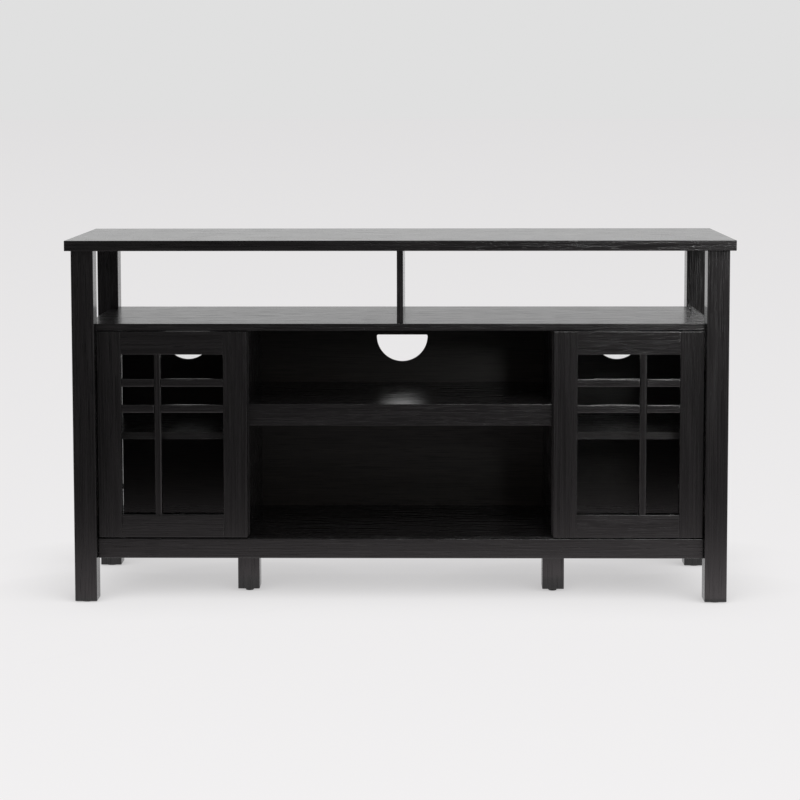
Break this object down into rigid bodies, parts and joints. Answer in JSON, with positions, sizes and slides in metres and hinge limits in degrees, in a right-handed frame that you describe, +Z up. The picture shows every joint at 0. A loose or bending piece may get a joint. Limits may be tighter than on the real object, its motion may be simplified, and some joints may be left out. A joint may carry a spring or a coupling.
{
  "type": "media cabinet",
  "caption": "Low black wooden media cabinet with an open upper bay, a shelved middle bay and a glazed, hinged door with glazing bars at each end.",
  "frame": {"origin": "on the floor, under the middle of the cabinet's bounding box", "axes": "+X to the right along the cabinet's width, +Y from the door fronts to the back, +Z up"},
  "size_m": [1.321, 0.406, 0.725],
  "materials": {
    "black_wood": "satin black lacquer over open-grained veneer",
    "back_board": "satin black printed board",
    "door_glass": "clear polished",
    "nickel_hardware": "nickel-plated pressed steel",
    "zinc_screw": "zinc-plated thread",
    "black_plastic": "matte black"
  },
  "bodies": {
    "cabinet": {"top_panel": "black_wood", "leg_front_left": "black_wood", "glide_front_left": "black_plastic", "leg_front_right": "black_wood", "glide_front_right": "black_plastic", "leg_back_left": "black_wood", "glide_back_left": "black_plastic", "leg_back_right": "black_wood", "glide_back_right": "black_plastic", "display_shelf": "black_wood", "bay_divider": "black_wood", "bottom_panel": "black_wood", "front_rail": "black_wood", "centre_shelf": "black_wood", "centre_shelf_rail": "black_wood", "side_panel_left": "black_wood", "partition_left": "black_wood", "side_shelf_left": "black_wood", "support_leg_left": "black_wood", "magnetic_catch_left": "black_plastic", "hinge_arm_left_lower": "nickel_hardware", "hinge_arm_left_upper": "nickel_hardware", "side_panel_right": "black_wood", "partition_right": "black_wood", "side_shelf_right": "black_wood", "support_leg_right": "black_wood", "magnetic_catch_right": "black_plastic", "hinge_arm_right_lower": "nickel_hardware", "hinge_arm_right_upper": "nickel_hardware", "back_panel_left": "back_board", "back_panel_centre": "back_board", "back_panel_right": "back_board"},
    "left_door": {"left_door_hinge_stile": "black_wood", "left_door_free_stile": "black_wood", "left_door_lower_rail": "black_wood", "left_door_upper_rail": "black_wood", "left_door_mullion": "black_wood", "left_door_upper_muntin": "black_wood", "left_door_lower_muntin": "black_wood", "left_door_glass": "door_glass", "left_door_hinge_cup_lower": "nickel_hardware", "left_door_hinge_cup_upper": "nickel_hardware", "left_door_strike_plate": "nickel_hardware"},
    "right_door": {"right_door_hinge_stile": "black_wood", "right_door_free_stile": "black_wood", "right_door_lower_rail": "black_wood", "right_door_upper_rail": "black_wood", "right_door_mullion": "black_wood", "right_door_upper_muntin": "black_wood", "right_door_lower_muntin": "black_wood", "right_door_glass": "door_glass", "right_door_hinge_cup_lower": "nickel_hardware", "right_door_hinge_cup_upper": "nickel_hardware", "right_door_strike_plate": "nickel_hardware"},
    "leveller_pad_left": {"leveller_pad_left": "black_plastic"},
    "leveller_pad_right": {"leveller_pad_right": "black_plastic"},
    "leveller_stud_left": {"leveller_stud_left": "zinc_screw"},
    "leveller_stud_right": {"leveller_stud_right": "zinc_screw"}
  },
  "joints": [
    {"name": "left_door_hinge", "type": "hinge", "parent": "cabinet", "child": "left_door", "pos_m": [-0.5865, -0.1635, 0.335], "axis": [0, 0, -1], "range_deg": [0, 95]},
    {"name": "right_door_hinge", "type": "hinge", "parent": "cabinet", "child": "right_door", "pos_m": [0.5865, -0.1635, 0.335], "axis": [0, 0, 1], "range_deg": [0, 95]},
    {"name": "leveller_left_lift", "type": "slide", "parent": "cabinet", "child": "leveller_pad_left", "axis": [0, 0, -1], "range_m": [0, 0.01]},
    {"name": "leveller_left_turn", "type": "hinge", "parent": "leveller_pad_left", "child": "leveller_stud_left", "pos_m": [-0.31, -0.073, 0], "axis": [0, 0, -1], "range_deg": [0, 2880]},
    {"name": "leveller_right_lift", "type": "slide", "parent": "cabinet", "child": "leveller_pad_right", "axis": [0, 0, -1], "range_m": [0, 0.01]},
    {"name": "leveller_right_turn", "type": "hinge", "parent": "leveller_pad_right", "child": "leveller_stud_right", "pos_m": [0.31, -0.073, 0], "axis": [0, 0, -1], "range_deg": [0, 2880]}
  ],
  "couplings": [
    {"joint": "leveller_left_turn", "follows": "leveller_left_lift", "rad_per_m": 5026.5},
    {"joint": "leveller_right_turn", "follows": "leveller_right_lift", "rad_per_m": 5026.5}
  ]
}
